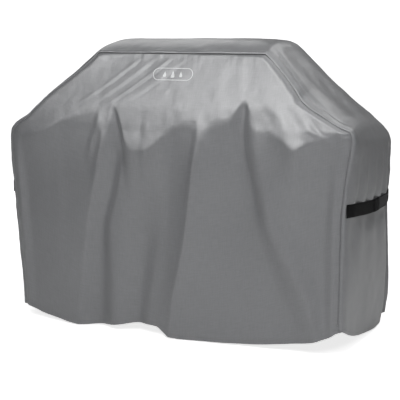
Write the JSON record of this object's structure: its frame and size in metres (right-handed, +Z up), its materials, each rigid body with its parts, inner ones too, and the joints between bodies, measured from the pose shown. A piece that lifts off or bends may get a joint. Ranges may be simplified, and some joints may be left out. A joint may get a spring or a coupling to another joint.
{
  "type": "grill cover",
  "caption": "Fitted cloth cover for a cart grill: tapered hood, straight skirt open below, bound seams, turned hem and hook-and-loop side straps.",
  "frame": {"origin": "middle of the open bottom, in the plane of the hem", "axes": "+X to the right seen from the badge side, +Y from the badge side to the rear, +Z up"},
  "size_m": [1.473, 0.6642, 1.165],
  "materials": {
    "cover_cloth": "matt plain-weave polyester, coated inside",
    "seam_tape": "folded polyester binding tape",
    "thread": "polyester sewing thread",
    "strap_webbing": "ribbed black webbing",
    "strap_thread": "black sewing thread",
    "hook_fastener": "charcoal nylon hooks",
    "loop_fastener": "black napped loops",
    "badge_print": "screen-printed ink"
  },
  "bodies": {
    "cover": {"front_panel": "cover_cloth", "rear_panel": "cover_cloth", "centre_strip": "cover_cloth", "front_seam_binding": "seam_tape", "rear_seam_binding": "seam_tape", "hem_band": "cover_cloth", "hem_stitching": "thread", "front_badge": "badge_print"},
    "right_front_strap": {"right_front_strap": "strap_webbing", "right_front_loop_patch": "loop_fastener", "right_front_strap_stitching": "strap_thread"},
    "right_rear_strap": {"right_rear_strap": "strap_webbing", "right_rear_hook_patch": "hook_fastener", "right_rear_strap_stitching": "strap_thread"},
    "left_front_strap": {"left_front_strap": "strap_webbing", "left_front_loop_patch": "loop_fastener", "left_front_strap_stitching": "strap_thread"},
    "left_rear_strap": {"left_rear_strap": "strap_webbing", "left_rear_hook_patch": "hook_fastener", "left_rear_strap_stitching": "strap_thread"}
  },
  "joints": [
    {"name": "right_front_strap_swing", "type": "hinge", "parent": "cover", "child": "right_front_strap", "pos_m": [0.72801, -0.298, 0.53], "axis": [0, 0, -1], "range_deg": [0, 150]},
    {"name": "right_rear_strap_swing", "type": "hinge", "parent": "cover", "child": "right_rear_strap", "pos_m": [0.72801, 0.298, 0.53], "axis": [0, 0, 1], "range_deg": [0, 121]},
    {"name": "left_front_strap_swing", "type": "hinge", "parent": "cover", "child": "left_front_strap", "pos_m": [-0.72801, -0.298, 0.53], "axis": [0, 0, 1], "range_deg": [0, 150]},
    {"name": "left_rear_strap_swing", "type": "hinge", "parent": "cover", "child": "left_rear_strap", "pos_m": [-0.72801, 0.298, 0.53], "axis": [0, 0, -1], "range_deg": [0, 121]}
  ],
  "couplings": [
    {"joint": "right_rear_strap_swing", "follows": "right_front_strap_swing", "ratio": 0.8},
    {"joint": "left_rear_strap_swing", "follows": "left_front_strap_swing", "ratio": 0.8}
  ]
}
